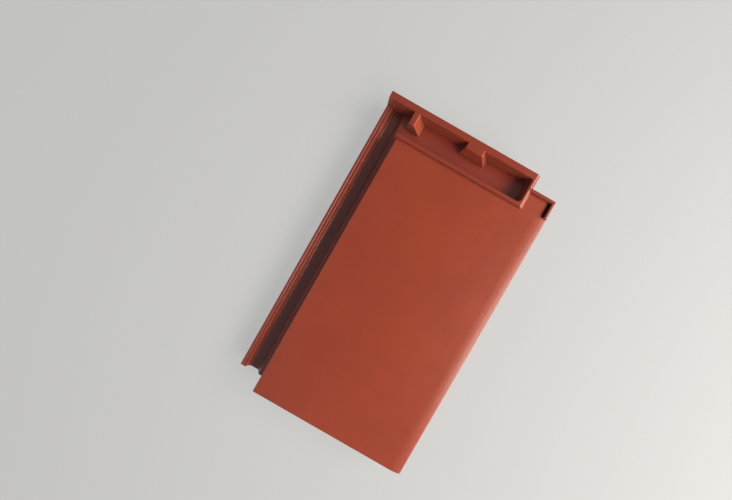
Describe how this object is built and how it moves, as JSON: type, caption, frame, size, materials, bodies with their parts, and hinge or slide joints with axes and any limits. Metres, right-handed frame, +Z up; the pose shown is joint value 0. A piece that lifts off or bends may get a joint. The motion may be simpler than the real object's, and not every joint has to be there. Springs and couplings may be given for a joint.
{
  "type": "clay roof tile",
  "caption": "Flat interlocking clay roof tile with a deep head trough and blocks, a ribbed side channel, a cover flange, and hanging nibs underneath.",
  "frame": {"origin": "bottom centre of the tile's box, on the floor that it lies on face up", "axes": "+X across the tile from the side channel to the cover flange, +Y up the slope to the head, +Z up out of the weathering face"},
  "size_m": [0.28, 0.4628, 0.0473],
  "materials": {
    "clay": "fired red clay with a thin satin engobe"
  },
  "bodies": {
    "root": {"roof_tile": "clay"}
  },
  "joints": []
}
